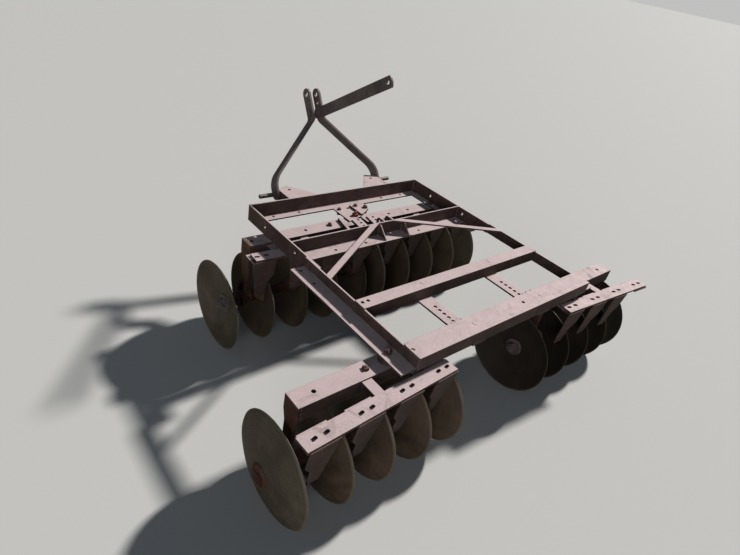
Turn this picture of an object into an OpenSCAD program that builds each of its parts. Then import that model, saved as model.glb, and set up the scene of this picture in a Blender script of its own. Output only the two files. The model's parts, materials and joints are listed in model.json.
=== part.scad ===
// Lift-type tandem disc harrow: four gangs of plain concave discs under a welded
// angle-iron frame, with a tilting three-point mast and its loose brace bar.
// X runs to the machine's right, Y forward to the hitch, Z up from the ground.
// Inside the part modules Z is counted from the frame's top edges and Y from a
// point between the gangs; part() moves everything to the ground and the middle.

/* [Discs] */
// Disc diameter, worn
disc_d = 428; // [360:1:480]
// Depth of the dish at its centre
disc_dish = 48; // [35:1:60]
// Blade thickness
disc_t = 4.5; // [3.5:0.5:6]
// Spacing of the discs along a gang
disc_pitch = 183; // [160:1:200]
// Flat centre of a disc, radius
hub_r = 48; // [42:1:54]
// Depth of the ground-off edge, along the axle
edge_l = 2.5; // [1:0.5:3]

/* [Gangs] */
// Frame top to the gang axles
axle_drop = 389; // [360:1:420]
// Machine centre to the rim plane of the outermost rear disc
rear_disc_x = 1025; // [950:1:1100]
// Machine centre to the rim plane of the innermost front disc
front_disc_x = 68; // [68:1:110]
// Front axle, ahead of the layout's zero
front_axle_y = 540; // [520:1:580]
// Rear axle, behind the layout's zero
rear_axle_y = 366; // [340:1:400]
// Side of the square gang axle
axle_sq = 28; // [24:1:30]
// Radius of a spool's waist, which is also the bearing journal
journal_r = 26; // [24:1:30]
// Radius of a spool's flared ends
flare_r = 45; // [36:1:47]
// Radial clearance of the running fits
run_gap = 0.05; // [0.02:0.01:0.1]
// End washer and bolt head, thickness of each
end_t = 7; // [5:0.5:8]

/* [Bearing standards] */
// Width of a bearing housing along the axle
housing_w = 54; // [44:1:60]
// Wall of a bearing housing
housing_wall = 15; // [11:1:18]
// Thickness of the standard's plate
stand_t = 12; // [8:1:16]
// Width of the standard at its waist
stand_waist = 52; // [44:1:64]

/* [Front box] */
// Depth of the front rail, side rails and their bolted bars
box_h = 80; // [70:1:90]
// Plate thickness of the frame's angles
iron_t = 7; // [5:0.5:9]
// Width of the box's bottom legs
box_leg = 50; // [40:1:60]
// Front face of the front rail
box_front_y = 728; // [700:1:760]
// Middle of the mid cross's web
mid_cross_y = 356; // [340:1:372]
// Width of the mid cross's bottom leg
mid_leg = 76; // [60:1:84]
// How far the side rails lap past the rear rails' front ends
rail_lap = 96; // [70:1:130]

/* [Rear frame] */
// Machine centre to the outer face of a rear rail's upright leg
rail_x = 562; // [500:1:600]
// Height of a rear rail
rail_h = 51; // [45:1:64]
// Width of a rear rail's bottom leg, outside its upright
rail_leg = 69; // [50:1:76]
// Front end of the rear rails
rail_front_y = 226; // [200:1:250]
// Rear end of the rear rails, behind the layout's zero
rail_rear_y = 476; // [450:1:500]
// Width of the rear cross's top leg
rear_cross_w = 84; // [70:1:90]
// Rear face of the mid-rear cross, behind the layout's zero
midrear_y = 174; // [150:1:200]
// Width of the mid-rear cross's top leg
midrear_w = 58; // [50:1:70]

/* [Adjusting straps] */
// Machine centre to a strap's row of holes
strap_x = 222; // [200:1:250]
// Width of a strap
strap_w = 76; // [60:1:84]
// Thickness of a strap
strap_t = 8; // [6:1:10]
// Spacing of the strap's holes
strap_pitch = 26; // [24:1:32]
// Number of holes in a strap's row
strap_holes = 5; // [4:1:6]

/* [Tool bars] */
// Width of a tool bar's top
bar_w = 78; // [70:1:84]
// Depth of a tool bar's sides
bar_h = 62; // [50:1:72]
// Plate thickness of a tool bar
bar_t = 6; // [5:0.5:8]
// Machine centre to the inner end of a rear tool bar
rear_bar_in = 390; // [360:1:410]
// Machine centre to the inner end of a front tool bar
front_bar_in = 20; // [10:1:40]
// Radius of the swivel boss between a rear rail and its tool bar
boss_r = 31; // [24:1:34]

/* [Scraper bars] */
// Level of a rear scraper bar's top, below the frame's top edges
scr_drop = 78; // [74:1:90]
// Gap between the side rails and the front scraper bars under them
scr_gap = 4; // [2:1:10]
// Width of a scraper bar
scr_w = 63; // [55:1:70]
// Thickness of a scraper bar
scr_t = 10; // [8:0.5:12]
// Rear axle to the front edge of its scraper bar, at the bar's nearer end
rear_scr_set = 101; // [90:1:115]
// Front axle to the front edge of its scraper bar, at the bar's nearer end
front_scr_set = 90; // [84:1:110]
// Slant of a scraper bar, in degrees
scr_slant = 2.3; // [0:0.1:4]
// Slant of the right rear scraper bar, which is set further back, in degrees
scr_slant_rr = 4.8; // [0:0.1:6]
// Disc rim plane to the middle of its scraper's slots
slot_set = 35; // [30:1:45]
// Spacing of the two slots of a scraper
slot_pitch = 46; // [40:1:52]
// Length of a slot
slot_l = 26; // [20:1:30]
// Width of a slot
slot_w = 13; // [11:1:16]
// Scraper bar beyond its first slots
scr_over = 67; // [50:1:72]
// The same on the right rear scraper bar
scr_over_rr = 52; // [44:1:67]
// Rear scraper bar beyond its last slots
rear_scr_end = 51; // [40:1:55]
// Front scraper bar beyond its last slots
front_scr_end = 40; // [36:1:55]
// Width of a scraper blade at its foot
blade_w = 112; // [90:1:120]
// How far a scraper's tip hangs below the frame's top edges
blade_drop = 290; // [260:1:300]
// Disc rim plane to the far corner of its scraper's tip
blade_edge = 55; // [40:1:65]
// Scraper foot ahead of its bar's front edge
foot_out = 12; // [8:1:16]
// Thickness of a scraper blade
blade_t = 5; // [4:0.5:7]
// Forward lean of a scraper blade, in degrees
blade_lean = 8; // [4:1:12]
// Width of the arms that carry a scraper bar
arm_w = 42; // [34:1:50]

/* [Hitch] */
// Machine centre to the outer face of a hitch bracket's web
bracket_x = 331; // [315:1:345]
// Hitch pin ahead of the front rail
pin_out = 109; // [90:1:122]
// Hitch pin below the frame's top edges
pin_drop = 27; // [24:1:34]
// Hitch pin radius
pin_r = 11; // [10:0.5:14]
// Free length of a hitch pin beyond its shoulder
pin_free = 86; // [60:1:95]
// Plate thickness of the hitch brackets
bracket_t = 7; // [5:1:9]

/* [Mast] */
// Forward lean of the mast as it stands, in degrees
mast_lean = 32.5; // [20:0.5:35]
// Hitch pin to the top pin hole
mast_h = 502; // [480:1:520]
// Top pin hole to the lower pin hole
pin_step = 44; // [36:1:50]
// Hitch pin to the brace bar's pivot
pivot_h = 399; // [390:1:410]
// Width of the mast's flat bar
mast_w = 60; // [50:1:64]
// Thickness of the mast's flat bar
mast_t = 12; // [10:1:14]
// Half the gap between the mast's two tops
clevis_half = 25; // [22:1:28]
// Straight foot above the hitch pin
foot_h = 25; // [15:1:30]
// Bend radius near the foot
foot_bend = 110; // [80:1:130]
// Bend radius under the tops
top_bend = 36; // [30:1:50]
// Radius of the top-link hole
top_r = 12.9; // [9:0.1:14]
// Radius of the lower link hole and of the brace holes
link_r = 9.7; // [9:0.1:12]
// Radius of the brace bar's pivot bolt
pivot_r = 9.5; // [8:0.5:11]

/* [Brace bar] */
// Length of the brace bar between its holes
brace_l = 596; // [560:1:620]
// Width of the brace bar
brace_w = 55; // [45:1:60]
// Thickness of the brace bar
brace_t = 10; // [8:1:12]
// Machine centre to the middle of the brace bar
brace_x = 14.5; // [12:0.5:16]
// Rise of the loose brace bar above level, in degrees
brace_rise = 31.6; // [20:0.5:40]
// Brace lugs' hole ahead of the mid cross's web
lug_set = 37; // [34:1:50]
// Brace lugs' hole below the frame's top edges
lug_drop = 22; // [18:1:30]

/* [Tie plates] */
// Machine centre to the left edge of the tie plate
tie_left = 79; // [70:1:90]
// Machine centre to the step up to the raised plate
tie_step = 21; // [15:1:30]
// Machine centre to the right edge of the raised plate
tie_right = 113; // [100:1:130]
// Width of the holed straps behind the tie plate
tie_strap_w = 54; // [40:1:60]
// Spacing of the holes in these straps
tie_pitch = 31; // [26:1:36]
// Turn of these straps, in degrees
tie_turn = 9; // [0:0.5:12]
// Thickness of the tie plates and their straps
plate_t = 7; // [5:1:9]

/* [Colours] */
// Sun-bleached rust on the frame
rust_frame = "#7d5b52"; // ["#7d5b52":"Bleached rust", "#5e463e":"Dark rust"]
// Darker rust on the discs
rust_disc = "#5a4638"; // ["#5a4638":"Brown", "#6d5646":"Light brown"]
// Dark steel of the mast
rust_dark = "#463a36"; // ["#463a36":"Dark", "#5e463e":"Dark rust"]

/* [Hidden] */
$fn = 64;
discs = 5;
disc_r = disc_d / 2;
stand_h = axle_drop + disc_r;
pin_y = box_front_y + pin_out;
// the mast's round tops are the front end, the rear discs' rims the rear end
front_y = pin_y + mast_h * sin(mast_lean) + mast_w / 2;
mid_y = (front_y - rear_axle_y - disc_r) / 2;
// inner sphere of a disc, through its rim and the bottom of its dish
ball_r = (disc_r * disc_r + disc_dish * disc_dish) / (2 * disc_dish);
ball_x = ball_r - disc_dish;
hub_out = -disc_dish - disc_t;
hub_in = ball_x - sqrt(ball_r * ball_r - hub_r * hub_r);
spool_l = disc_pitch + hub_out - hub_in;
// bearings sit in the first and the last gap between discs
bearing_u = hub_in + spool_l / 2;
bearing_far = bearing_u + 3 * disc_pitch;
rear_bar_out = rear_disc_x - bearing_u - stand_t / 2;
front_bar_out = front_disc_x + bearing_far - stand_t / 2;
side_out = rail_x - iron_t;
side_in = side_out - iron_t;
side_rear_y = rail_front_y - rail_lap;
cross_t = iron_t - 1;
foot_gap = 2;
foot_x = bracket_x + foot_gap + mast_t / 2;
top_x = clevis_half + mast_t / 2;
// the leg's two bends: equal and opposite turns that join the foot to the top
leg_dx = foot_x - top_x;
leg_dz = pivot_h - 16 - foot_h;
bend_sum = foot_bend + top_bend;
leg_turn = atan2(leg_dz, bend_sum - leg_dx)
    - acos(bend_sum / norm([leg_dz, bend_sum - leg_dx]));
leg_l = (leg_dx - bend_sum * (1 - cos(leg_turn))) / sin(leg_turn);
shoulder_x = foot_x + mast_t / 2 + 0.5;
shoulder_t = 6;
pivot_y = pin_y + pivot_h * sin(mast_lean);
pivot_z = pivot_h * cos(mast_lean) - pin_drop;
// scraper tip's clearance from the rim plane
blade_gap = 7;
bolt_r = 7.5;
// lap of two shapes that are drawn as one
fuse = 0.01;

// ground and middle frame, colour
module part(c) color(c) translate([0, -mid_y, stand_h]) children();

// every side piece is drawn on the left; the right one is its mirror image
module sided(right) {
    if (right) mirror([1, 0, 0]) children();
    else children();
}

// two like pieces, one on each side
module both_sides() for (right = [false, true]) sided(right) children();

// a gang's own frame: origin on the axle in the rim plane of disc 0, and +X the
// way the dishes face, which is inward at the rear and outward at the front
module gang(rear, right) {
    sided(right) {
        if (rear) translate([-rear_disc_x, -rear_axle_y, -axle_drop]) children();
        else translate([-front_disc_x, front_axle_y, -axle_drop])
            mirror([1, 0, 0]) children();
    }
}

module bore_x(r, l) rotate([0, 90, 0]) cylinder(r = r, h = l, center = true);
module bore_z(r, l) cylinder(r = r, h = l, center = true, $fn = 32);

// box from its low corner to its high corner
module span(a, b) translate(a) cube(b - a);

// front box

// the front rail: tall leg in front, short leg to the rear along the bottom
module front_rail() part(rust_frame) difference() {
    union() {
        span([-side_out, box_front_y - iron_t, -box_h], [side_out, box_front_y, 0]);
        span([-side_in, box_front_y - box_leg, -box_h],
            [side_in, box_front_y, -box_h + iron_t]);
    }
    // bolt holes in the bottom leg
    for (x = [-430, -280, 280, 430]) translate([x, box_front_y - box_leg / 2, -box_h])
        bore_z(bolt_r, 40);
}

module side_rail(right) part(rust_frame) sided(right) difference() {
    union() {
        span([-side_out, side_rear_y, -box_h], [-side_in, box_front_y - iron_t, 0]);
        span([-side_out, side_rear_y, -box_h],
            [-side_out + box_leg, box_front_y - box_leg, -box_h + iron_t]);
    }
    // bolt holes through the tall leg: Y, drop
    for (h = [[572, 38], [316, 30], [200, 26]])
        translate([-side_out + iron_t / 2, h[0], -h[1]]) bore_x(bolt_r, 4 * iron_t);
    translate([-side_out + box_leg * 0.62, front_axle_y, -box_h]) bore_z(bolt_r, 40);
    // the tail past the rear rail is cut to the rear rail's height
    translate([-side_out - 1, side_rear_y - 1, -box_h - 1])
        cube([box_leg + 2, rail_lap - 20, box_h - rail_h + 1]);
}
module side_rail_left() side_rail(false);
module side_rail_right() side_rail(true);

// the cross member that takes the mast's brace: web up, wide leg to the rear,
// two gussets behind the web and the pair of brace lugs in front of it
gusset_x = [-37, 118];
lug_t = 8;
lug_gap = [brace_x - brace_t / 2 - 5.5, 51];
module mid_cross() part(rust_frame) {
    y0 = mid_cross_y - iron_t / 2;
    bottom = -box_h + iron_t;
    gusset_h = -bottom - iron_t - diag_t - 1;
    difference() {
        union() {
            span([-side_in, y0, bottom], [side_in, y0 + iron_t, 0]);
            span([-side_in, y0 + iron_t - mid_leg, bottom],
                [side_in, y0 + iron_t, bottom + iron_t]);
            for (x = gusset_x) translate([x - 3, y0, bottom + iron_t])
                rotate([90, 0, 90]) linear_extrude(6)
                    polygon([[0, 0], [0, gusset_h], [-8, gusset_h],
                        [iron_t - mid_leg + 6, 6], [iron_t - mid_leg + 6, 0]]);
            for (x = [lug_gap[0] - lug_t, lug_gap[1]])
                translate([x, y0 + iron_t, 0]) rotate([90, 0, 90])
                    linear_extrude(lug_t) union() {
                        translate([0, -2 * lug_drop]) square([lug_set, 2 * lug_drop]);
                        translate([lug_set, -lug_drop]) circle(lug_drop);
                    }
        }
        translate([0, y0 + iron_t + lug_set, -lug_drop]) bore_x(link_r, 4 * lug_gap[1]);
        for (x = [-330, -150, 210, 380]) translate([x, mid_cross_y - 45, bottom])
            bore_z(bolt_r, 40);
    }
}

// flat diagonals from the middle of the mid cross back to the rear rails
diag_w = 28;
diag_t = 8;
diag_from = 75;
diag_to = 65;
module diagonals() part(rust_frame) both_sides() intersection() {
    y1 = mid_cross_y - iron_t / 2;
    x1 = rail_x - iron_t;
    dir = atan2(y1 - diag_to, x1 - diag_from);
    len = norm([y1 - diag_to, x1 - diag_from]);
    translate([-x1, diag_to, -diag_t]) rotate([0, 0, dir])
        translate([-diag_w, -diag_w / 2, 0]) cube([len + 2 * diag_w, diag_w, diag_t]);
    span([-x1, diag_to - diag_w, -diag_t - 1], [-diag_from + diag_w, y1, 1]);
}

// tie plates over the inner ends of the front tool bars, with two holed straps and
// a square bar that run back to the mid cross
module centre_plates() part(rust_frame) {
    lip = box_front_y - box_leg;
    bar_front = front_axle_y + bar_w / 2;
    strap_l = bar_front - 14 - mid_cross_y;
    difference() {
        union() {
            // left plate, flush with the front rail's bottom leg
            translate([0, 0, -box_h]) linear_extrude(plate_t)
                polygon([[-tie_left, lip], [tie_step + 40, lip], [tie_step + 40, lip - 78],
                    [tie_step, bar_front - 4], [tie_step, bar_front - 19],
                    [-24, bar_front - 33], [-tie_left, bar_front - 48]]);
            // right plate, bolted on top of it
            translate([0, 0, -box_h + plate_t - 1]) linear_extrude(11)
                polygon([[tie_step, lip - 8], [tie_right - 4, lip - 18],
                    [tie_right, lip - 32], [tie_right - 11, bar_front + 23],
                    [tie_step + 10, bar_front - 17], [tie_step, bar_front - 17]]);
            // straps, both swung the same way
            for (x = [-tie_left + 23, tie_step + 23]) translate([x, bar_front - 32, -box_h])
                rotate([0, 0, -tie_turn]) span([0, -strap_l, 0], [tie_strap_w, 0, plate_t]);
            // square bar
            translate([-tie_left - 86, mid_cross_y + 6, -box_h]) rotate([0, 0, -12.4])
                span([-8, 0, 0], [8, bar_front - mid_cross_y - 10, 2 * plate_t]);
        }
        for (x = [-tie_left + 23, tie_step + 23], i = [0:2])
            translate([x, bar_front - 32, -box_h]) rotate([0, 0, -tie_turn])
                translate([tie_strap_w * 0.6, -15 - tie_pitch * i, 0]) bore_z(bolt_r, 40);
        for (h = [[tie_step - 35, bar_front - 8], [-tie_left + 25, lip - 20],
                [tie_step - 21, lip - 22], [tie_step + 26, lip - 28],
                [tie_right - 25, lip - 62]])
            translate([h[0], h[1], -box_h]) bore_z(bolt_r, 40);
    }
}

// rear frame

module rear_rail(right) part(rust_frame) sided(right) difference() {
    union() {
        span([-rail_x, -rail_rear_y, -rail_h], [-rail_x + iron_t, rail_front_y, 0]);
        span([-rail_x - rail_leg, -rail_rear_y, -rail_h],
            [-rail_x, rail_front_y, -rail_h + iron_t]);
    }
    for (y = [200, 100]) translate([-rail_x - rail_leg / 2, y, -rail_h])
        bore_z(bolt_r, 40);
    // the swivel bolt of the rear tool bar
    translate([-rail_x - rail_leg / 2, -rear_axle_y, -rail_h]) bore_z(bolt_r, 40);
}
module rear_rail_left() rear_rail(false);
module rear_rail_right() rear_rail(true);

// angle lying on the rails' top edges, its leg down behind: width, leg, half length
module cross(w, leg, half, leg_half) {
    span([-half, 0, 0], [half, w, cross_t]);
    span([-leg_half, 0, -leg], [leg_half, cross_t, cross_t]);
}

module mid_rear_cross() part(rust_frame) difference() {
    translate([0, -midrear_y, 0])
        cross(midrear_w, rail_h, rail_x, rail_x - iron_t);
    for (x = [-strap_x, strap_x, -rail_x + 18, -rail_x + 46])
        translate([x, -midrear_y + midrear_w * 0.6, 0]) bore_z(bolt_r, 40);
}

module rear_cross() part(rust_frame) difference() {
    translate([0, -rail_rear_y - cross_t, 0])
        cross(rear_cross_w + cross_t, rail_h, rail_x, rail_x);
    // rounded front corners
    for (s = [-1, 1]) translate([s * (rail_x - 20), rear_cross_w - rail_rear_y - 20, -1])
        difference() {
            translate([s > 0 ? 0 : -21, 0, 0]) cube([21, 21, cross_t + 2]);
            translate([0, 0, -1]) cylinder(r = 20, h = cross_t + 4);
        }
    for (x = [-rail_x + 10, -strap_x, 96, strap_x])
        translate([x, -rail_rear_y + 42, 0]) bore_z(bolt_r, 40);
}

// flat strap under both crosses with its row of adjusting holes and a bolted clamp
module straps() part(rust_frame) both_sides() {
    top = -rail_h;
    y0 = -rail_rear_y - cross_t;
    y1 = -midrear_y + midrear_w;
    u_y = -rail_rear_y + rear_cross_w + 16;
    difference() {
        span([-strap_x - strap_w / 2, y0, top - strap_t],
            [-strap_x + strap_w / 2, y1, top]);
        for (i = [0:strap_holes - 1])
            translate([-strap_x, -midrear_y - 64 - i * strap_pitch, top])
                bore_z(8, 4 * strap_t);
    }
    translate([-strap_x - 14, u_y, top]) {
        for (x = [-18, 18]) translate([x, 0, -strap_t - 22]) cylinder(r = 6, h = strap_t + 56);
        translate([-32, -14, 18]) cube([64, 28, 7]);
    }
}

// tool bars

// inverted channel from one X to the other, centred on Y = 0 with its top at Z = 0
module channel(x0, x1) difference() {
    span([x0, -bar_w / 2, -bar_h], [x1, bar_w / 2, 0]);
    span([x0 - 1, -bar_w / 2 + bar_t, -bar_h - 1], [x1 + 1, bar_w / 2 - bar_t, -bar_t]);
}

module front_bar(right) part(rust_frame) sided(right)
    translate([0, front_axle_y, -box_h]) difference() {
        channel(-front_bar_out, -front_bar_in);
        for (x = [-345, -front_bar_out + 18, -side_out + box_leg * 0.62, -200])
            translate([x, 0, 0]) bore_z(8.5, 40);
    }
module front_bar_left() front_bar(false);
module front_bar_right() front_bar(true);

// rear tool bar with the boss that swivels under the rear rail
module rear_bar(right) part(rust_frame) sided(right)
    translate([0, -rear_axle_y, -box_h]) difference() {
        union() {
            channel(-rear_bar_out - stand_t, -rear_bar_in);
            translate([-rail_x - rail_leg / 2, 0, 0])
                cylinder(r = boss_r, h = box_h - rail_h);
        }
        // the sides end at the outer standard, the top goes on over it
        span([-rear_bar_out - stand_t - 1, -bar_w / 2 - 1, -bar_h - 1],
            [-rear_bar_out, bar_w / 2 + 1, -bar_t]);
        translate([-rail_x - rail_leg / 2, 0, 0]) bore_z(bolt_r, 200);
        for (x = [-rear_bar_out + 70, -rail_x - rail_leg - 60, -rear_bar_in - 26])
            translate([x, 0, 0]) bore_z(8.5, 40);
    }
module rear_bar_left() rear_bar(false);
module rear_bar_right() rear_bar(true);

// bearing standards, in a gang's own frame

// a plate hung from the tool bar down to a split housing around the journal
module standard(u, at_end, open_top) translate([u, 0, 0]) {
    // the rear tool bar's top sheet goes over its end standard, the front one's doesn't
    top = axle_drop - box_h - (open_top ? 0 : bar_t);
    half = at_end ? bar_w / 2 : bar_w / 2 - bar_t;
    neck = axle_drop - box_h - bar_h;
    hr = journal_r + run_gap + housing_wall;
    difference() {
        union() {
            // plate: full width inside the bar, drawn in to the waist below it
            rotate([90, 0, 90]) translate([0, 0, -stand_t / 2]) linear_extrude(stand_t)
                polygon([[-half, top], [-half, neck], [-stand_waist / 2, neck - 46],
                    [-stand_waist / 2, 0], [stand_waist / 2, 0],
                    [stand_waist / 2, neck - 46], [half, neck], [half, top]]);
            bore_x(hr, housing_w);
            // flanges of the split housing
            translate([-housing_w / 2, -hr - 14, -9]) cube([housing_w, 2 * hr + 28, 18]);
            // webs that stiffen the plate above the housing
            for (s = [-1, 1]) translate([0, s * (stand_waist / 2 - 4), hr / 2])
                rotate([90, 0, 0]) linear_extrude(8, center = true)
                    polygon([[-housing_w / 2, 0], [housing_w / 2, 0], [stand_t / 2, 86],
                        [-stand_t / 2, 86]]);
        }
        bore_x(journal_r + run_gap, housing_w + 2);
        for (y = [-hr - 4, hr + 4]) translate([0, y, 0]) bore_z(5.5, 60);
    }
}
// the outboard one closes the tool bar's end, the inboard one stands inside the bar
module standards(rear, right) part(rust_frame) gang(rear, right) {
    standard(bearing_u, rear, false);
    standard(bearing_far, !rear, !rear);
}
module standards_fl() standards(false, false);
module standards_fr() standards(false, true);
module standards_rl() standards(true, false);
module standards_rr() standards(true, true);

// scraper bars and scrapers, in a gang's own frame

function scr_top(rear) = axle_drop - (rear ? scr_drop : box_h + scr_gap);
function scr_set(rear) = rear ? rear_scr_set : front_scr_set;
function scr_end(rear) = slot_set + 3 * disc_pitch + (rear ? rear_scr_end : front_scr_end);

function scr_turn(rear, right) = rear && right ? scr_slant_rr : scr_slant;

// the bar's own frame: origin at its front edge over the far end, slanted
module on_scraper_bar(rear, right)
    translate([scr_end(rear), -scr_set(rear), scr_top(rear)])
        rotate([0, 0, scr_turn(rear, right)]) translate([-scr_end(rear), 0, 0]) children();

// flat bar with a pair of slots for each scraper, and the arms from the tool bar
module scraper_bar(rear, right) part(rust_frame) gang(rear, right) {
    over = rear && right ? scr_over_rr : scr_over;
    on_scraper_bar(rear, right) difference() {
        span([slot_set - over, -scr_w, -scr_t], [scr_end(rear), 0, 0]);
        for (i = [0:discs - 2], s = [-1, 1])
            translate([i * disc_pitch + slot_set + s * slot_pitch / 2, -scr_w / 2, 0])
                rotate([0, 0, 12]) {
                    cube([slot_l - slot_w, slot_w, 40], center = true);
                    for (e = [-1, 1]) translate([e * (slot_l - slot_w) / 2, 0, 0])
                        bore_z(slot_w / 2, 40);
                }
    }
    // arms midway between scrapers, flat under the bar and turned down at the tool bar
    for (i = [1, 2]) {
        u = (i + 0.5) * disc_pitch + slot_set;
        reach = scr_set(rear) + (scr_end(rear) - u) * tan(scr_turn(rear, right))
            + 0.7 * scr_w;
        translate([u - arm_w / 2, 0, scr_top(rear) - scr_t - 7]) {
            span([0, -reach, 0], [arm_w, -bar_w / 2, 8]);
            span([0, -bar_w / 2 - 8, -34], [arm_w, -bar_w / 2, 8]);
        }
    }
}
module scraper_bar_fl() scraper_bar(false, false);
module scraper_bar_fr() scraper_bar(false, true);
module scraper_bar_rl() scraper_bar(true, false);
module scraper_bar_rr() scraper_bar(true, true);

// a scraper: foot bolted under the bar, blade bent down behind it and tapering
// beside the dish. One scraper has lost its blade.
module scraper(whole) {
    top = -scr_t - blade_t;
    tip = scr_drop - blade_drop - top;
    half = blade_w / 2;
    near = blade_gap - slot_set;
    span([-half, -scr_w - 4, top], [half, foot_out, -scr_t]);
    if (whole) translate([0, blade_t - scr_w - 3, top]) rotate([90 + blade_lean, 0, 0])
        linear_extrude(blade_t) polygon([[-half, 2], [-half, tip * 0.4],
            [near, tip * 0.6], [near, tip], [blade_edge - slot_set, tip],
            [half, -10], [half - 5, 2]]);
}
module scrapers(rear, right) part(rust_frame) gang(rear, right) on_scraper_bar(rear, right)
    for (i = [0:discs - 2]) translate([i * disc_pitch + slot_set, 0, 0]) difference() {
        scraper(!(rear && right && i == 0));
        for (s = [-1, 1]) translate([s * slot_pitch / 2, -scr_w / 2, 0])
            bore_z(slot_w / 2 - 1, 40);
    }
module scrapers_fl() scrapers(false, false);
module scrapers_fr() scrapers(false, true);
module scrapers_rl() scrapers(true, false);
module scrapers_rr() scrapers(true, true);

// gangs

// one concave disc: spherical shell with a flat hub and a ground edge
module disc_blade() difference() {
    union() {
        intersection() {
            translate([ball_x, 0, 0]) difference() {
                sphere(ball_r + disc_t, $fn = 180);
                sphere(ball_r, $fn = 180);
            }
            translate([-disc_dish - 2 * disc_t, 0, 0]) rotate([0, 90, 0])
                cylinder(r = disc_r, h = disc_dish + 2 * disc_t);
        }
        translate([hub_out, 0, 0]) rotate([0, 90, 0])
            cylinder(r = hub_r, h = hub_in - hub_out);
    }
    cube([4 * disc_dish, axle_sq + 1, axle_sq + 1], center = true);
    // the edge is ground on the convex side
    translate([-edge_l - 12, 0, 0]) rotate([0, 90, 0]) difference() {
        cylinder(r = disc_r + 9, h = 12 + edge_l / 2);
        translate([0, 0, -0.5]) cylinder(r1 = disc_r - 14, r2 = disc_r, h = 13 + edge_l / 2);
    }
}
module gang_discs(rear, right) part(rust_disc) gang(rear, right)
    for (i = [0:discs - 1]) translate([i * disc_pitch, 0, 0]) disc_blade();
module discs_fl() gang_discs(false, false);
module discs_fr() gang_discs(false, true);
module discs_rl() gang_discs(true, false);
module discs_rr() gang_discs(true, true);

// spools between the discs: flared ends and a straight waist
flare_l = 34;
module spool() rotate([0, 90, 0]) rotate_extrude() difference() {
    polygon([[0, 0], [flare_r, 0], [flare_r, 7], [journal_r + 6, 20],
        [journal_r, flare_l], [journal_r, spool_l - flare_l],
        [journal_r + 6, spool_l - 20], [flare_r, spool_l - 7], [flare_r, spool_l],
        [0, spool_l]]);
    translate([0, -1]) square([axle_sq * 0.72, spool_l + 2]);
}
module gang_spools(rear, right) part(rust_disc) gang(rear, right)
    for (i = [0:discs - 2]) translate([i * disc_pitch + hub_in, 0, 0]) spool();
module spools_fl() gang_spools(false, false);
module spools_fr() gang_spools(false, true);
module spools_rl() gang_spools(true, false);
module spools_rr() gang_spools(true, true);

// square axle with a dished end washer and bolt head outside, washer and nut inside
module gang_axle(rear, right) part(rust_dark) gang(rear, right) {
    far = (discs - 1) * disc_pitch + hub_in;
    span([hub_out - 1, -axle_sq / 2, -axle_sq / 2], [far + 9, axle_sq / 2, axle_sq / 2]);
    translate([hub_out - end_t, 0, 0]) rotate([0, 90, 0])
        cylinder(r1 = hub_r - 8, r2 = hub_r - 2, h = end_t);
    // the front gangs' inner ends are plain bumpers, the rear ends have a bolt head
    if (rear) translate([hub_out - 1.5 * end_t, 0, 0])
        cube([end_t + 0.1, 40, 40], center = true);
    translate([far, 0, 0]) rotate([0, 90, 0]) cylinder(r = hub_r - 6, h = 9);
    translate([far + 9, 0, 0]) rotate([0, 90, 0]) cylinder(r = 23, h = 22, $fn = 6);
    translate([far + 31, 0, 0]) rotate([0, 90, 0]) cylinder(r = 13, h = 10);
}
module axle_fl() gang_axle(false, false);
module axle_fr() gang_axle(false, true);
module axle_rl() gang_axle(true, false);
module axle_rr() gang_axle(true, true);

// hitch

// bracket ahead of the front rail: tapered top leg and an outer web that holds the pin
module hitch_brackets() part(rust_frame) both_sides() difference() {
    union() {
        translate([0, 0, -bracket_t]) linear_extrude(bracket_t)
            polygon([[-bracket_x, box_front_y], [-bracket_x, pin_y + 2],
                [-bracket_x + 66, pin_y + 29], [-bracket_x + 178, box_front_y]]);
        translate([-bracket_x, 0, 0]) rotate([90, 0, 90]) linear_extrude(bracket_t) {
            polygon([[box_front_y, 0], [pin_y, 0], [pin_y, -pin_drop - 28],
                [box_front_y, -box_h]]);
            translate([pin_y, -pin_drop]) intersection() {
                circle(28);
                translate([-30, -30]) square([60, 30 + pin_drop]);
            }
        }
    }
    translate([-bracket_x, pin_y, -pin_drop]) bore_x(pin_r + run_gap, 6 * bracket_t);
    translate([-bracket_x + 55, pin_y - 20, 0]) bore_z(8, 40);
}

// lower hitch pin: nut, shank through web and mast foot, shoulder, free end
module hitch_pins() part(rust_dark) both_sides()
    translate([0, pin_y, -pin_drop]) rotate([0, -90, 0]) difference() {
        union() {
            translate([0, 0, bracket_x - bracket_t - 18])
                cylinder(r = pin_r, h = shoulder_x + shoulder_t + pin_free
                    - bracket_x + bracket_t + 18 - 3);
            translate([0, 0, shoulder_x + shoulder_t + pin_free - 3])
                cylinder(r1 = pin_r, r2 = pin_r - 3, h = 3);
            translate([0, 0, shoulder_x]) cylinder(r = pin_r + 7, h = shoulder_t);
            translate([0, 0, bracket_x - bracket_t - 14])
                cylinder(r = pin_r + 7, h = 14, $fn = 6);
        }
        // hole for the linch pin
        translate([0, 0, shoulder_x + shoulder_t + pin_free - 16])
            rotate([90, 0, 0]) cylinder(r = 5.5, h = 60, center = true);
    }

// mast

// the mast's own frame: origin on the hitch pins' axis, +Z along the mast
module on_mast() translate([0, pin_y, -pin_drop]) rotate([-mast_lean, 0, 0]) children();

// a bend of the flat bar, edge on: starts at the origin going up, turns toward +X
module bend(r, turn) translate([r, 0]) intersection() {
    difference() {
        circle(r + mast_t / 2, $fn = 96);
        circle(r - mast_t / 2, $fn = 96);
    }
    polygon([[0, 0], for (a = [0, turn / 2, turn]) 2 * r * [-cos(a), sin(a)]]);
}

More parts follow.
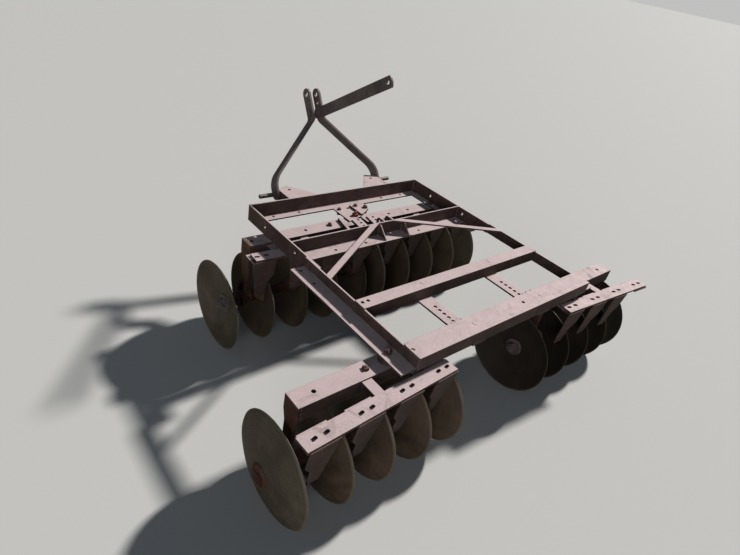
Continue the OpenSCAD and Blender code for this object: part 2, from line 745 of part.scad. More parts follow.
// the left leg edge on: foot, bend in, slant, bend back, straight top
module leg_line() {
    half = mast_t / 2;
    translate([-foot_x - half, -mast_w / 2]) square([mast_t, mast_w / 2 + foot_h]);
    translate([-foot_x, foot_h]) bend(foot_bend, leg_turn);
    translate([-foot_x + foot_bend * (1 - cos(leg_turn)), foot_h + foot_bend * sin(leg_turn)])
        rotate(-leg_turn) translate([-half, -fuse]) square([mast_t, leg_l + 2 * fuse]);
    translate([-top_x, foot_h + leg_dz]) rotate(180) bend(top_bend, leg_turn);
    translate([-top_x - half, foot_h + leg_dz])
        square([mast_t, mast_h + mast_w / 2 - foot_h - leg_dz]);
}

// left leg: the bent bar cut to round ends, on the pin and at the top
module mast_leg(right) part(rust_dark) sided(right) on_mast() difference() {
    intersection() {
        rotate([90, 0, 0]) linear_extrude(mast_w, center = true) leg_line();
        translate([-foot_x - mast_t, 0, 0]) rotate([90, 0, 90]) linear_extrude(foot_x + mast_t) {
            for (h = [0, mast_h]) translate([0, h]) circle(mast_w / 2);
            translate([-mast_w / 2, 0]) square([mast_w, mast_h]);
        }
    }
    translate([-foot_x, 0, 0]) bore_x(pin_r + run_gap, 2 * mast_t);
    for (h = [[mast_h, top_r], [mast_h - pin_step, link_r]]) translate([-top_x, 0, h[0]])
        bore_x(h[1], 2 * mast_t);
    translate([-top_x, 0, pivot_h]) bore_x(pivot_r + run_gap, 2 * mast_t);
}
module mast_leg_left() mast_leg(false);
module mast_leg_right() mast_leg(true);

// pivot bolt between the tops, with spacers that keep the brace bar in place
module mast_bolt() part(rust_dark) on_mast() translate([0, 0, pivot_h]) {
    out = clevis_half + mast_t;
    bore_x(pivot_r, 2 * out);
    for (s = [-1, 1]) translate([s * (out + 5), 0, 0]) rotate([0, 90, 0])
        cylinder(r = 16, h = 10, center = true, $fn = 6);
    difference() {
        union() {
            rotate([0, 90, 0]) translate([0, 0, -clevis_half])
                cylinder(r = 16, h = clevis_half + brace_x - brace_t / 2 - 0.5);
            rotate([0, 90, 0]) translate([0, 0, brace_x + brace_t / 2 + 0.5])
                cylinder(r = 16, h = clevis_half - brace_x - brace_t / 2 - 0.5);
        }
    }
}

// brace bar, unbolted at the frame and swung up behind the mast
module brace_bar() part(rust_dark)
    translate([brace_x, pivot_y, pivot_z]) rotate([-brace_rise, 0, 0]) difference() {
        union() {
            translate([-brace_t / 2, -brace_l, -brace_w / 2]) cube([brace_t, brace_l, brace_w]);
            bore_x(brace_w / 2, brace_t);
            // the free end is cut to a shallow curve
            intersection() {
                translate([0, -brace_l + brace_w / 3, 0]) bore_x(brace_w * 0.82, brace_t);
                translate([-brace_t / 2, -brace_l - brace_w, -brace_w / 2])
                    cube([brace_t, 2 * brace_w, brace_w]);
            }
        }
        bore_x(pivot_r + run_gap, 2 * brace_t);
        translate([0, -brace_l, 0]) bore_x(link_r, 2 * brace_t);
    }

front_rail();
side_rail_left();
side_rail_right();
mid_cross();
diagonals();
centre_plates();
front_bar_left();
front_bar_right();
rear_rail_left();
rear_rail_right();
mid_rear_cross();
rear_cross();
straps();
rear_bar_left();
rear_bar_right();
standards_fl();
standards_fr();
standards_rl();
standards_rr();
scraper_bar_fl();
scraper_bar_fr();
scraper_bar_rl();
scraper_bar_rr();
scrapers_fl();
scrapers_fr();
scrapers_rl();
scrapers_rr();
hitch_brackets();
hitch_pins();
mast_leg_left();
mast_leg_right();
mast_bolt();
brace_bar();
discs_fl();
discs_fr();
discs_rl();
discs_rr();
spools_fl();
spools_fr();
spools_rl();
spools_rr();
axle_fl();
axle_fr();
axle_rl();
axle_rr();
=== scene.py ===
"""Looks of the lift-type tandem disc harrow: rust, dirt, bolts, studio and camera.

The scene is in metres, in the frame of the CAD part: +X right, +Y forward to the
hitch, +Z up from the ground. Named sizes and places of the part's own layout are in
millimetres, like those in its source.
"""

import json
import math
import random

import bmesh
import bpy
from mathutils import Matrix, Vector


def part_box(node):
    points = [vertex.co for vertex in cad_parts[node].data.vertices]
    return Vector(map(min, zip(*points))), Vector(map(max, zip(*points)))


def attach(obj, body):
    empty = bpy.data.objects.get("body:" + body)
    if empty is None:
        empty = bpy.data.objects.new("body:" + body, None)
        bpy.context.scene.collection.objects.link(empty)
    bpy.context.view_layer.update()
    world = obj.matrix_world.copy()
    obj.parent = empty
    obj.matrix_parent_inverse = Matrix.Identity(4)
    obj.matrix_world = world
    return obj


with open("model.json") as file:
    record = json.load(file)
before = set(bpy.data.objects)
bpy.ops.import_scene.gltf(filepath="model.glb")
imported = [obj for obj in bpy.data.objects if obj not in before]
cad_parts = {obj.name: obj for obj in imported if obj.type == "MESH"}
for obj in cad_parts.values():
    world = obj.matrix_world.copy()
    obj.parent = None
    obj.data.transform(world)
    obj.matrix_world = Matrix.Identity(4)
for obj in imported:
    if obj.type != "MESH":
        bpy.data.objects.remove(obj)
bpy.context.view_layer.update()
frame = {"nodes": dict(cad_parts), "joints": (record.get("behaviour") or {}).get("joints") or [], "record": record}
nodes = frame["nodes"]
joint_at = {j["name"]: Vector(j["pos_m"]) for j in frame["joints"]}
slot_of = {s["node"]: s["material_slot"] for s in frame["record"]["subparts"]}
MM = 0.001
UP, DOWN, BACK = Vector((0, 0, 1)), Vector((0, 0, -1)), Vector((0, -1, 0))

# gangs: the first letter is the row and the second the side
GANGS = ("fl", "fr", "rl", "rr")
DISCS = 5
DISC_PITCH = 183
FIRST_DISC = {"f": 68, "r": 1025}  # machine centre to a gang's first disc
FRONT_AXLE_Y = 540
REAR_AXLE_Y = 366
HOUSING_W = 54
FLANGE_BOLT_V = 45  # from the axle to the bolts of the split housings
FLANGE_HALF = 9

# front box
BOX_FRONT_Y = 728
BOX_H = 80
BOX_LEG = 50
IRON_T = 7
BOX_LEG_TOP = IRON_T - BOX_H
LIP = BOX_FRONT_Y - BOX_LEG  # rear edge of the front rail's bottom leg
MID_CROSS_Y = 356
GUSSET_X = (-37, 118)
GUSSET_T = 6

# rear frame, whose rails lap the side rails on the outside
RAIL_X = 562
RAIL_H = 51
RAIL_LEG = 69
RAIL_REAR_Y = 476
MIDREAR_Y = 174
MIDREAR_W = 58
CROSS_T = 6
REAR_CROSS_W = 84
CROSS_BOLTS_Y = (42 - RAIL_REAR_Y, 0.6 * MIDREAR_W - MIDREAR_Y)
SIDE_IN = RAIL_X - 2 * IRON_T  # inner face of the side rail
LAP_BOLT_Y = 200
LAP_BOLT_Z = -26
STRAP_X = 222
STRAP_T = 8
STRAP_BOTTOM = -RAIL_H - STRAP_T
CLAMP_X = STRAP_X + 14
CLAMP_HALF = 18  # from a clamp's middle to its studs
CLAMP_Y = REAR_CROSS_W + 16 - RAIL_REAR_Y
CLAMP_TOP = 25 - RAIL_H

# tool bars and centre plates
BAR_W = 78
BAR_T = 6
REAR_BAR_BOLT_X = 691.6
SWIVEL_BOLT_L = 92  # from the nut on the rear rail's leg down to the head
SIDE_BOLT_X = RAIL_X - IRON_T - 0.62 * BOX_LEG
LEFT_BAR_NUT_X = -200
PLATE_T = 7
LEFT_PLATE_TOP = PLATE_T - BOX_H
RIGHT_PLATE_TOP = LEFT_PLATE_TOP + 10
PLATE_BOLT_L = 20  # from the nuts on the plates down to their heads
PLATE_BOLTS = ((47, LIP - 28, RIGHT_PLATE_TOP, 11), (88, LIP - 62, RIGHT_PLATE_TOP, 13),
               (-54, LIP - 20, LEFT_PLATE_TOP, 10))  # X, Y, Z and bolt size
RUSTY_NUT = (-14, 571, LEFT_PLATE_TOP)

# scraper bars, with U from a gang's first disc
SLOT_SET = 35
SLOT_PITCH = 46
SCRAPER_BAR_W = 63
SCRAPER_BAR_END = {"f": 40, "r": 51}  # beyond the last slots
SCRAPER_BAR_SET = {"f": 90, "r": 101}  # from the axle back to the bar's front edge
SCRAPER_BAR_SLANT = {"fl": 2.3, "fr": 2.3, "rl": 2.3, "rr": 4.8}
FOOT_BOTTOM = 15  # of a scraper's foot, below the bar's top
SLOT_END_FROM = 13  # of the bolt ends in the slots, below the bar's top
SLOT_END_R, SLOT_END_H, SLOT_END_CHAMFER = 5.4, 6.5, 2.2
ARM_T = 8
ARM_BOLT_DROP = 31

# bolt sizes, about half a nut's width
SWIVEL_BOLT, BAR_BOLT, ARM_BOLT, FRAME_BOLT = 13, 12, 11, 10
CLAMP_BOLT, SCRAPER_BOLT, FLANGE_BOLT, RUSTY_BOLT = 9, 9, 8, 15
CARRIAGE_HEAD_R, CARRIAGE_HEAD_H = 10, 1.1

# weld beads, from end to end
BEAD_OUT = 0.5  # from the faces that a bead joins to its middle
GUSSET_WELD_Z = (-62, -20)
GUSSET_WELD_Y = (294, 349)
LUG_WELD_X = (-5, 59)
LUG_WELD_Z = (-40, -4)
CORNER_WELD_Z = (-68, -4)
RAIL_WELD_Y = (-172, -118)
RAIL_WELD_Z = -8

LAYOUT_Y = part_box("front_rail")[1].y - BOX_FRONT_Y * MM
LAYOUT_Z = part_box("front_rail")[1].z


def layout(x, y, z):
    """A place in the part's layout, whose zero is in the middle of the frame's top."""
    return Vector((x * MM, LAYOUT_Y + y * MM, LAYOUT_Z + z * MM))


def axle_of(gang):
    return joint_at["gang_%s_turn" % gang]


def gang_at(gang, u, v, w):
    """A place in a gang's frame: U along the axle from its first disc, V ahead, W up."""
    side = -1 if gang[1] == "l" else 1
    first = FIRST_DISC[gang[0]]
    x = first - u if gang[0] == "r" else first + u
    return Vector((side * x * MM, axle_of(gang).y + v * MM, axle_of(gang).z + w * MM))


def scraper_bar(gang):
    """Where a scraper bar ends, in U and in V behind the axle, and its turn there."""
    end = SLOT_SET + (DISCS - 2) * DISC_PITCH + SCRAPER_BAR_END[gang[0]]
    return end, SCRAPER_BAR_SET[gang[0]], math.radians(SCRAPER_BAR_SLANT[gang])


def scraper_bar_top(gang):
    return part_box("scraper_bar_" + gang)[1].z


def scraper_at(gang, u, v, drop):
    """A place on a scraper bar: U along it, V from its front edge, DROP below its top."""
    end, back, turn = scraper_bar(gang)
    u -= end
    place = gang_at(gang, end + u * math.cos(turn) - v * math.sin(turn),
                    -back + u * math.sin(turn) + v * math.cos(turn), 0)
    place.z = scraper_bar_top(gang) - drop * MM
    return place


def slots():
    """Every slot in the scraper bars: its gang, its U and its side of the scraper."""
    for gang in GANGS:
        for i in range(DISCS - 1):
            for s in (-1, 1):
                yield gang, SLOT_SET + i * DISC_PITCH + s * SLOT_PITCH / 2, s


# material nodes


class Nodes:
    """Short calls for building a material's node tree."""

    def __init__(self, name):
        self.mat = bpy.data.materials.new(name)
        self.mat.use_nodes = True
        self.tree = self.mat.node_tree
        self.shader = self.tree.nodes["Principled BSDF"]

    def add(self, kind, **values):
        """A new node, with values for its settings or its input sockets."""
        node = self.tree.nodes.new("ShaderNode" + kind)
        for key, value in values.items():
            if hasattr(node, key):
                setattr(node, key, value)
            else:
                node.inputs[key].default_value = value
        return node

    def link(self, source, target):
        self.tree.links.new(source, target)

    def feed(self, value, socket):
        """Links another node's output to a socket, or writes a number or colour on it."""
        if hasattr(value, "links"):
            self.link(value, socket)
        elif isinstance(value, tuple):
            socket.default_value = (*value, 1.0)
        else:
            socket.default_value = value

    def place(self):
        return self.add("TexCoord").outputs["Object"]

    def parts(self, vector):
        """The X, Y and Z of a vector."""
        split = self.add("SeparateXYZ")
        self.link(vector, split.inputs[0])
        return split.outputs["X"], split.outputs["Y"], split.outputs["Z"]

    def noise(self, place, scale, detail, rough, distort=0.0):
        node = self.add("TexNoise", Scale=scale, Detail=detail, Roughness=rough,
                        Distortion=distort)
        self.link(place, node.inputs["Vector"])
        return node.outputs["Fac"]

    def ramp(self, value, stops):
        """A value turned into the greys or colours of its stops."""
        node = self.add("ValToRGB")
        points = node.color_ramp.elements
        while len(points) < len(stops):
            points.new(0.5)
        for point, (at, colour) in zip(points, stops):
            point.position = at
            point.color = (*(colour if isinstance(colour, tuple) else (colour,) * 3), 1.0)
        self.link(value, node.inputs["Fac"])
        return node.outputs["Color"]

    def mix(self, share, first, second, blend="MIX"):
        node = self.add("Mix", data_type="RGBA", blend_type=blend)
        for value, i in ((share, 0), (first, 6), (second, 7)):
            self.feed(value, node.inputs[i])
        return node.outputs[2]

    def math(self, operation, first, second=0.0):
        node = self.add("Math", operation=operation)
        self.feed(first, node.inputs[0])
        self.feed(second, node.inputs[1])
        return node.outputs[0]

    def normal(self):
        return self.add("NewGeometry").outputs["Normal"]

    def up(self):
        """How far a surface faces up, 0 to 1."""
        return self.math("MAXIMUM", self.parts(self.normal())[2], 0.0)

    def soft_normal(self, radius):
        """The normal as if edges were rounded by RADIUS."""
        return self.add("Bevel", samples=4, Radius=radius).outputs[0]

    def speckled(self, colour, grain, share, darkest):
        """A colour with fine dark speckle."""
        speck = self.ramp(grain, [(0.3, darkest), (0.55, 1.0)])
        return self.mix(share, colour, self.mix(1.0, colour, speck, "MULTIPLY"))

    def finish(self, colour, roughness, metal, height, bump, depth, normal=None):
        """Feeds the shader and returns the material."""
        self.link(colour, self.shader.inputs["Base Color"])
        self.link(roughness, self.shader.inputs["Roughness"])
        self.shader.inputs["Metallic"].default_value = metal
        node = self.add("Bump", Strength=bump, Distance=depth)
        self.link(height, node.inputs["Height"])
        if normal:
            self.link(normal, node.inputs["Normal"])
        self.link(node.outputs[0], self.shader.inputs["Normal"])
        return self.mat


def srgb(r, g, b):
    """A colour written as it shows, 0 to 255, in the shader's linear values."""
    def one(v):
        v /= 255
        return v / 12.92 if v <= 0.04045 else ((v + 0.055) / 1.055) ** 2.4
    return one(r), one(g), one(b)


def lighter(colour, by):
    return tuple(min(1.0, c * by) for c in colour)


# materials

EDGE_R = 2.2 * MM  # how wide an edge is worn
RUST_DEPTH = 1.2 * MM
SOIL_DEPTH = 1.0 * MM


def rust(name, tones, bleach_and_glare, bleach_and_glare_share, metal=0.25, rough=(0.6, 0.85), bleach_and_glare_at=None):
    """Weathered rust: blotches of three browns. Up-facing tops and edges are paler, partly from sun bleaching and
    wear and partly a painted highlight of the sun.
    """
    n = Nodes(name)
    at = n.place()
    blotch = n.noise(at, scale=5.0, detail=5.0, rough=0.62, distort=0.3)
    patch = n.noise(at, scale=28.0, detail=6.0, rough=0.68, distort=0.4)
    grain = n.noise(at, scale=260.0, detail=4.0, rough=0.7)
    colour = n.ramp(n.mix(0.5, blotch, patch), list(zip((0.34, 0.5, 0.66), tones)))
    # flat tops are paler, in streaks: partly sun bleaching, partly a painted highlight where the sun falls on them
    streak = n.ramp(n.noise(at, scale=14.0, detail=5.0, rough=0.7, distort=0.8),
                    [(0.3, 0.86), (0.62, 1.0)])
    sunlit = n.ramp(n.up(), [(0.45, 0.0), (0.9, 1.0)])
    share = n.math("MULTIPLY", n.math("MULTIPLY", sunlit, streak), bleach_and_glare_share)
    if bleach_and_glare_at:
        reached = bleach_and_glare_at(n, at)
        share = n.math("MULTIPLY", share, reached)
    colour = n.mix(share, colour, n.mix(grain, bleach_and_glare, lighter(bleach_and_glare, 1.15)))
    # patches of dirt
    dirt = n.ramp(n.noise(at, scale=9.0, detail=8.0, rough=0.72, distort=0.9),
                  [(0.56, 0.0), (0.7, 0.5)])
    colour = n.mix(dirt, colour, tones[1])
    # edges are paler, with gaps: partly wear, partly a painted highlight along them
    soft = n.soft_normal(EDGE_R)
    bend = n.add("VectorMath", operation="DOT_PRODUCT")
    n.link(soft, bend.inputs[0])
    n.link(n.normal(), bend.inputs[1])
    edge = n.math("MULTIPLY", n.ramp(bend.outputs["Value"], [(0.78, 1.0), (0.97, 0.0)]),
                  n.ramp(patch, [(0.36, 0.15), (0.5, 0.75)]))
    if bleach_and_glare_at:
        edge = n.math("MULTIPLY", edge, n.math("MAXIMUM", reached, 0.3))
    colour = n.mix(edge, colour, lighter(bleach_and_glare, 1.35))
    colour = n.speckled(colour, grain, share=0.6, darkest=0.62)
    # pits
    pits = n.add("TexVoronoi", Scale=190.0)
    n.link(at, pits.inputs["Vector"])
    pit = n.ramp(pits.outputs["Distance"], [(0.05, 0.0), (0.35, 1.0)])
    height = n.mix(0.5, grain, n.mix(0.5, patch, pit))
    n.shader.inputs["Specular IOR Level"].default_value = 0.35
    roughness = n.ramp(patch, [(0.3, rough[0]), (0.7, rough[1])])
    return n.finish(colour, roughness, metal, height, 0.35, RUST_DEPTH, soft)


def ahead_on_bar(gang):
    """Mask for rust(): 1 from the middle of a gang's scraper bar forward, 0 behind it, where the scrapers get no
    pale tops and fainter pale edges, both partly painted highlight.
    """
    end, back, turn = scraper_bar(gang)
    way = 1 if gang[0] == "r" else -1
    slope = way * math.tan(turn)
    limit = axle_of(gang).y + MM * (slope * (FIRST_DISC[gang[0]] - way * end)
                                    - back - SCRAPER_BAR_W / 2)

    def mask(n, at):
        x, y, _ = n.parts(at)
        across = n.math("MULTIPLY", n.math("ABSOLUTE", x), slope)
        return n.math("GREATER_THAN", n.math("ADD", across, y), limit)
    return mask


def disc_rust(name, gang, tones, outer):
    """Disc steel: dull olive brown with faint rings from the soil and a worn, bright edge.

    OUTER is the X of the disc at the gang's outer end, in millimetres.
    """
    n = Nodes(name)
    at = n.place()
    axle = axle_of(gang)
    disc_r = axle.z  # the machine stands on its discs
    x, y, z = n.parts(at)
    dy = n.math("SUBTRACT", y, axle.y)
    dz = n.math("SUBTRACT", z, axle.z)
    radius = n.math("SQRT", n.math("ADD", n.math("MULTIPLY", dy, dy),
                                   n.math("MULTIPLY", dz, dz)))
    ring_at = n.add("CombineXYZ")
    n.link(n.math("MULTIPLY", radius, 6.0), ring_at.inputs["X"])
    rings = n.noise(ring_at.outputs[0], scale=30.0, detail=4.0, rough=0.6)
    blotch = n.noise(at, scale=7.0, detail=6.0, rough=0.65, distort=0.5)
    grain = n.noise(at, scale=300.0, detail=4.0, rough=0.7)
    colour = n.ramp(n.mix(0.35, blotch, rings), list(zip((0.33, 0.5, 0.67), tones)))
    # dried soil, most of it near the rim
    soil = n.ramp(n.noise(at, scale=34.0, detail=7.0, rough=0.7, distort=0.6),
                  [(0.52, 0.0), (0.7, 0.4)])
    near_rim = n.ramp(radius, [(0.12, 0.15), (0.2, 1.0)])
    colour = n.mix(n.math("MULTIPLY", soil, near_rim), colour, tones[2])
    colour = n.speckled(colour, grain, share=0.5, darkest=0.6)
    # the inner discs are browner than the one at the gang's outer end
    inner = n.math("LESS_THAN", n.math("ABSOLUTE", x), (outer - DISC_PITCH / 2) * MM)
    colour = n.mix(inner, colour, n.mix(1.0, colour, (0.8, 0.68, 0.61), "MULTIPLY"))
    worn = n.ramp(radius, [(disc_r - 4.5 * MM, 0.0), (disc_r - 1.5 * MM, 0.55)])
    colour = n.mix(worn, colour, srgb(138, 126, 112))
    roughness = n.ramp(blotch, [(0.3, 0.5), (0.7, 0.78)])
    return n.finish(colour, roughness, 0.3, n.mix(0.5, grain, rings), 0.25, SOIL_DEPTH)


# tones are dark, middle and pale; after them come the pale top colour, partly bleach and partly painted highlight,
# and its share
BEAM_TONES = srgb(56, 44, 42), srgb(78, 60, 56), srgb(102, 80, 74)
BEAM_LOOK = dict(tones=BEAM_TONES, bleach_and_glare=srgb(188, 170, 171), bleach_and_glare_share=0.92, metal=0.15,
                 rough=(0.66, 0.85))
FRAME = rust("frame_rust", **BEAM_LOOK)
SCRAPER = {gang: rust("scraper_rust_" + gang, bleach_and_glare_at=ahead_on_bar(gang), **BEAM_LOOK)
           for gang in GANGS}
DARK = rust("mast_rust", (srgb(70, 62, 63), srgb(98, 86, 86), srgb(124, 108, 106)),
            srgb(146, 128, 126), 0.5, metal=0.3, rough=(0.5, 0.8))
IRON = rust("cast_rust", (srgb(54, 40, 36), srgb(86, 60, 50), srgb(116, 80, 66)),
            srgb(128, 102, 90), 0.5)
BOLT = rust("bolt_rust", (srgb(50, 36, 31), srgb(88, 58, 46), srgb(120, 84, 68)),
            srgb(132, 104, 92), 0.5)
# near black, a painted shade: it stands for the shade down in the scraper bars' slots
SLOT_SHADE = rust("slot_painted_shade", (srgb(12, 9, 9), srgb(17, 13, 13), srgb(26, 20, 19)),
            srgb(26, 20, 19), 0.3, metal=0.0)
RED = rust("nut_rust", (srgb(78, 38, 28), srgb(118, 62, 44), srgb(146, 84, 62)),
           srgb(146, 96, 76), 0.4)
RED_IRON = rust("red_iron", (srgb(50, 36, 32), srgb(82, 50, 41), srgb(118, 66, 50)),
                srgb(128, 96, 84), 0.5)
OLIVE = srgb(62, 52, 43), srgb(88, 77, 64), srgb(112, 100, 84)
# darker tones for the rear right gang's discs: a painted shade
PAINTED_SHADE_TONES = srgb(32, 28, 24), srgb(46, 40, 34), srgb(62, 54, 46)
DISC_FRONT = disc_rust("disc_front", "fl", OLIVE,
                       FIRST_DISC["f"] + (DISCS - 1) * DISC_PITCH)
DISC_REAR = disc_rust("disc_rear", "rl", OLIVE, FIRST_DISC["r"])
DISC_PAINTED_SHADE = disc_rust("disc_rear_painted_shade", "rr", PAINTED_SHADE_TONES, FIRST_DISC["r"])

DISC_LOOK = {"fl": DISC_FRONT, "fr": DISC_FRONT, "rl": DISC_REAR, "rr": DISC_PAINTED_SHADE}
NODE_LOOK = {"axle_rl": RED_IRON, "standards_rl": RED_IRON}
SLOT_LOOK = {"frame_steel": FRAME, "standard_iron": IRON, "spool_iron": IRON,
             "dark_steel": DARK}


def look_of(name):
    """The material of a CAD node: its gang's, its own or its slot's."""
    if name.startswith("discs"):
        return DISC_LOOK[name[-2:]]
    if name.startswith("scrapers"):
        return SCRAPER[name[-2:]]
    return NODE_LOOK.get(name) or SLOT_LOOK[slot_of[name]]


for name, node in nodes.items():
    node.data.materials.clear()
    node.data.materials.append(look_of(name))

# shapes of bolts and welds, with sizes in millimetres

SINK = 0.3  # how far a bolt starts inside the face that it stands on
SQUARE_R, HEX_R, WASHER_R, THREAD_R = 1.15, 0.98, 1.12, 0.5  # by a bolt's size
NUT_H, WASHER_H = 0.8, 0.16
ROUND_SIDES, THREAD_SIDES = 20, 12
rnd = random.Random(7)


def prism(bm, at, axis, radius, height, sides, chamfer=0.0, turn=0.0):
    """A prism or cylinder standing on AT along AXIS, with a chamfered far end."""
    spin = UP.rotation_difference(axis).to_matrix()
    rows = [(radius, 0.0), (radius, height - chamfer)]
    if chamfer:
        rows.append((radius - 1.2 * chamfer, height))
    angles = [turn + 2 * math.pi * i / sides for i in range(sides)]
    rings = [[bm.verts.new(at + spin @ Vector((r * math.cos(a), r * math.sin(a), z)) * MM)
              for a in angles] for r, z in rows]
    for low, high in zip(rings, rings[1:]):
        for i in range(sides):
            j = (i + 1) % sides
            bm.faces.new((low[i], low[j], high[j], high[i]))
    bm.faces.new(rings[-1])
    bm.faces.new(rings[0][::-1])


def bolt(bm, at, axis, size, square=False, tail=1.4):
    """Washer, nut and a worn thread end, standing on AT."""
    at = at - axis * SINK * MM
    turn = rnd.uniform(0, math.pi)
    washer, nut = WASHER_H * size, NUT_H * size
    prism(bm, at, axis, WASHER_R * size, washer, ROUND_SIDES, 0.05 * size)
    prism(bm, at + axis * washer * MM, axis, (SQUARE_R if square else HEX_R) * size, nut,
          4 if square else 6, 0.12 * size, turn)
    if tail:
        prism(bm, at + axis * (washer + nut) * MM, axis, THREAD_R * size,
              (tail - 1) * size, THREAD_SIDES, 0.12 * size)


def through(bm, at, length, size, square=False):
    """Nut on top at AT and a square head LENGTH lower."""
    bolt(bm, at, UP, size, square, 1.3)
    bolt(bm, at + DOWN * length * MM, DOWN, size, True, 0)


def dome(bm, at, axis, radius, height):
    """A round carriage-bolt head."""
    prism(bm, at - axis * SINK * MM, axis, radius, 0.45 * height, ROUND_SIDES)
    prism(bm, at + axis * 0.4 * height * MM, axis, 0.93 * radius, 0.55 * height,
          ROUND_SIDES, 0.5 * height)


def bead(bm, start, end, size=3.0):
    """A lumpy weld bead from START to END."""
    count = max(2, int((end - start).length / (1.1 * size * MM)))
    for i in range(count + 1):
        wide = size * MM * rnd.uniform(0.85, 1.15)
        bmesh.ops.create_icosphere(bm, subdivisions=2, radius=wide,
                                   matrix=Matrix.Translation(start.lerp(end, i / count)))


def upright_bead(bm, x, y, span):
    bead(bm, layout(x, y, span[0]), layout(x, y, span[1]))


def level_bead(bm, x, span, z):
    bead(bm, layout(x, span[0], z), layout(x, span[1], z))


def piece(bm, name, material, smooth=None):
    """One object from all that was drawn in BM, fixed to the frame."""
    bm.normal_update()
    mesh = bpy.data.meshes.new(name)
    bm.to_mesh(mesh)
    bm.free()
    obj = bpy.data.objects.new(name, mesh)
    bpy.context.scene.collection.objects.link(obj)
    mesh.materials.append(material)
    if smooth:
        mesh.shade_smooth()
        mesh.set_sharp_from_angle(angle=math.radians(smooth))
    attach(obj, "frame")


# frame bolts
bm = bmesh.new()
for side in (-1, 1):
    # the swivel of the rear tool bar, and the bar's own bolt
    through(bm, layout(side * (RAIL_X + RAIL_LEG / 2), -REAR_AXLE_Y, IRON_T - RAIL_H),
            SWIVEL_BOLT_L, SWIVEL_BOLT, True)
    through(bm, layout(side * REAR_BAR_BOLT_X, -REAR_AXLE_Y, -BOX_H), BAR_T, BAR_BOLT, True)
    # nuts under the adjusting straps
    for y in CROSS_BOLTS_Y:
        bolt(bm, layout(side * STRAP_X, y, STRAP_BOTTOM), DOWN, FRAME_BOLT)
    # the lap of the side rail and the rear rail
    outward = Vector((side, 0, 0))
    bolt(bm, layout(side * SIDE_IN, LAP_BOLT_Y, LAP_BOLT_Z), -outward, FRAME_BOLT)
    bolt(bm, layout(side * RAIL_X, LAP_BOLT_Y, LAP_BOLT_Z), outward, FRAME_BOLT, True, 0)
    # studs of the straps' clamps
    for x in (CLAMP_X - CLAMP_HALF, CLAMP_X + CLAMP_HALF):
        bolt(bm, layout(side * x, CLAMP_Y, CLAMP_TOP), UP, CLAMP_BOLT, tail=0)
        bolt(bm, layout(side * x, CLAMP_Y, STRAP_BOTTOM), DOWN, CLAMP_BOLT, tail=0)
    # the front tool bar's bolt through the side rail
    through(bm, layout(side * SIDE_BOLT_X, FRONT_AXLE_Y, BOX_LEG_TOP), IRON_T + BAR_T,
            BAR_BOLT)
# nuts over the tie plates, and one on the left tool bar
for x, y, z, size in PLATE_BOLTS:
    through(bm, layout(x, y, z), PLATE_BOLT_L, size)
bolt(bm, layout(LEFT_BAR_NUT_X, FRONT_AXLE_Y, -BOX_H), UP, BAR_BOLT, True)
# bolts of the scraper arms on the tool bars' rear faces
for gang in GANGS:
    for i in (1, 2):
        face = gang_at(gang, SLOT_SET + (i + 0.5) * DISC_PITCH, -BAR_W / 2 - ARM_T, 0)
        face.z = scraper_bar_top(gang) - ARM_BOLT_DROP * MM
        bolt(bm, face, BACK, ARM_BOLT, True, 1.2)
piece(bm, "frame_bolts", BOLT)

# flush carriage-bolt heads in the cross members' tops
bm = bmesh.new()
for side in (-1, 1):
    for y in CROSS_BOLTS_Y:
        dome(bm, layout(side * STRAP_X, y, CROSS_T), UP, CARRIAGE_HEAD_R, CARRIAGE_HEAD_H)
piece(bm, "flush_heads", FRAME)

# the freshly rusted nut over the tie plates
bm = bmesh.new()
bolt(bm, layout(*RUSTY_NUT), UP, RUSTY_BOLT, True, 1.8)
piece(bm, "rusty_nut", RED)

# scraper bolts: heads and nuts under the feet, and their ends in the slots near black, a painted shade of the deep
# slots
bm = bmesh.new()
for gang, u, s in slots():
    at = scraper_at(gang, u, -SCRAPER_BAR_W / 2, FOOT_BOTTOM)
    bolt(bm, at, DOWN, SCRAPER_BOLT, s > 0, 1.2)
piece(bm, "scraper_bolts", BOLT)

bm = bmesh.new()
for gang, u, s in slots():
    at = scraper_at(gang, u, -SCRAPER_BAR_W / 2, SLOT_END_FROM)
    prism(bm, at, UP, SLOT_END_R, SLOT_END_H, THREAD_SIDES, SLOT_END_CHAMFER)
piece(bm, "slot_bolts", SLOT_SHADE)

# bolts through the flanges of the split bearing housings
bm = bmesh.new()
for gang in GANGS:
    low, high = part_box("standards_" + gang)
    axle = axle_of(gang)
    for x in (low.x + HOUSING_W / 2 * MM, high.x - HOUSING_W / 2 * MM):
        for v in (-FLANGE_BOLT_V, FLANGE_BOLT_V):
            at = Vector((x, axle.y + v * MM, axle.z))
            bolt(bm, at + UP * FLANGE_HALF * MM, UP, FLANGE_BOLT)
            bolt(bm, at + DOWN * FLANGE_HALF * MM, DOWN, FLANGE_BOLT, True, 0)
piece(bm, "bearing_bolts", BOLT)

# weld beads: gussets and lugs of the mid cross, corners of the box, mid-rear cross
bm = bmesh.new()
behind_web = MID_CROSS_Y - IRON_T / 2 - BEAD_OUT
ahead_of_web = MID_CROSS_Y + IRON_T / 2 + BEAD_OUT
in_corner = BOX_FRONT_Y - IRON_T - BEAD_OUT
for x in GUSSET_X:
    for s in (-1, 1):
        face = x + s * GUSSET_T / 2
        upright_bead(bm, face, behind_web, GUSSET_WELD_Z)
        level_bead(bm, face, GUSSET_WELD_Y, BOX_LEG_TOP + IRON_T + BEAD_OUT)
for x in LUG_WELD_X:
    upright_bead(bm, x, ahead_of_web, LUG_WELD_Z)
for side in (-1, 1):
    for y in (in_corner, behind_web):
        upright_bead(bm, side * (SIDE_IN - BEAD_OUT), y, CORNER_WELD_Z)
    level_bead(bm, side * (RAIL_X - IRON_T - BEAD_OUT), RAIL_WELD_Y, RAIL_WELD_Z)
piece(bm, "weld_beads", FRAME, 60)

# floor, pale to the camera and darker in the light it throws back on the machine

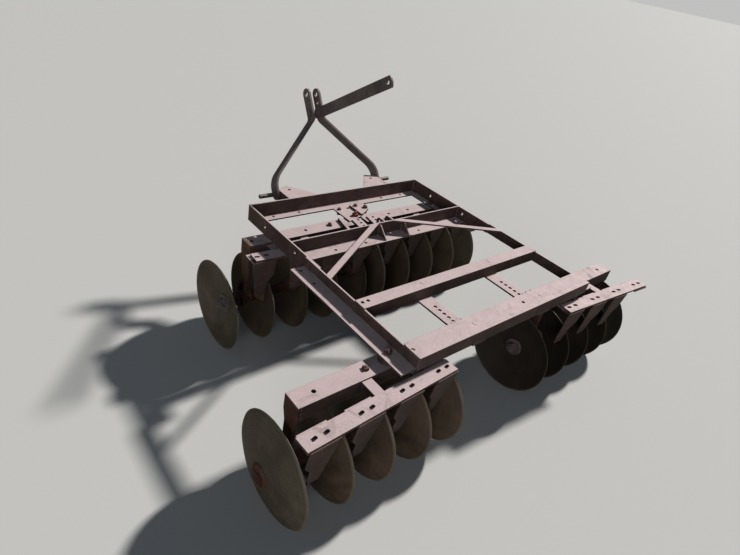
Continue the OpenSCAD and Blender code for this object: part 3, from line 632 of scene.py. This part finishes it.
HALF_FLOOR = 400
floor_mesh = bpy.data.meshes.new("floor")
floor_mesh.from_pydata([(x * HALF_FLOOR, y * HALF_FLOOR, 0)
                        for x, y in ((-1, -1), (1, -1), (1, 1), (-1, 1))],
                       [], [(0, 1, 2, 3)])
floor = bpy.data.objects.new("floor", floor_mesh)
bpy.context.scene.collection.objects.link(floor)
pale = Nodes("pale_floor")
seen = pale.add("LightPath").outputs["Is Camera Ray"]
pale.link(pale.mix(seen, (0.2, 0.21, 0.18), (0.47, 0.47, 0.465)),
          pale.shader.inputs["Base Color"])
pale.shader.inputs["Roughness"].default_value = 0.9
pale.shader.inputs["Specular IOR Level"].default_value = 0.2
floor_mesh.materials.append(pale.mat)

# low, bluish sky light; the camera sees it as pale as the floor

world = bpy.data.worlds.new("studio")
bpy.context.scene.world = world
world.use_nodes = True
sky = world.node_tree
light = sky.nodes["Background"]
light.inputs["Color"].default_value = (0.66, 0.82, 1.0, 1)
light.inputs["Strength"].default_value = 0.1
backdrop = sky.nodes.new("ShaderNodeBackground")
backdrop.inputs["Color"].default_value = (0.53, 0.53, 0.525, 1)
ray = sky.nodes.new("ShaderNodeLightPath")
by_ray = sky.nodes.new("ShaderNodeMixShader")
for source, target in ((ray.outputs["Is Camera Ray"], by_ray.inputs[0]),
                       (light.outputs[0], by_ray.inputs[1]),
                       (backdrop.outputs[0], by_ray.inputs[2]),
                       (by_ray.outputs[0], sky.nodes["World Output"].inputs["Surface"])):
    sky.links.new(source, target)

# lamps


def sun(name, toward, energy, angle, colour):
    """A lamp so far away that it lights everything alike; ANGLE softens its shadows."""
    data = bpy.data.lights.new(name, "SUN")
    data.energy = energy
    data.angle = math.radians(angle)
    data.color = colour
    lamp = bpy.data.objects.new(name, data)
    bpy.context.scene.collection.objects.link(lamp)
    lamp.rotation_euler = Vector(toward).to_track_quat("Z", "Y").to_euler()


# the key comes from the machine's right, as in the photograph; the fill is wide and weak
sun("key", toward=(0.77, 0.05, 0.63), energy=5.1, angle=4, colour=(1.0, 0.97, 0.92))
sun("fill", toward=(-0.75, -0.64, 0.13), energy=1.3, angle=36, colour=(0.97, 0.99, 1.0))

# camera, fitted to the photograph

CAMERA_AT = (-1.6985, -1.5510, 1.7448)
AIM_AZIMUTH = 45.80  # degrees from +Y towards +X
AIM_ELEVATION = -32.23
CAMERA_ROLL = 12.40  # degrees, clockwise picture
FOCAL_PX = 521.7
IMAGE_PX = 740
SENSOR = 36.0

lens = bpy.data.cameras.new("camera")
lens.sensor_width = SENSOR
lens.lens = SENSOR * FOCAL_PX / IMAGE_PX
lens.clip_start, lens.clip_end = 0.05, 1000.0
camera = bpy.data.objects.new("camera", lens)
bpy.context.scene.collection.objects.link(camera)
azimuth, elevation, roll = map(math.radians, (AIM_AZIMUTH, AIM_ELEVATION, CAMERA_ROLL))
camera.matrix_world = (Matrix.Translation(CAMERA_AT) @ Matrix.Rotation(-azimuth, 4, "Z")
                       @ Matrix.Rotation(math.pi / 2 + elevation, 4, "X")
                       @ Matrix.Rotation(roll, 4, "Z"))
bpy.context.scene.camera = camera
bpy.context.scene.view_settings.view_transform = "Standard"
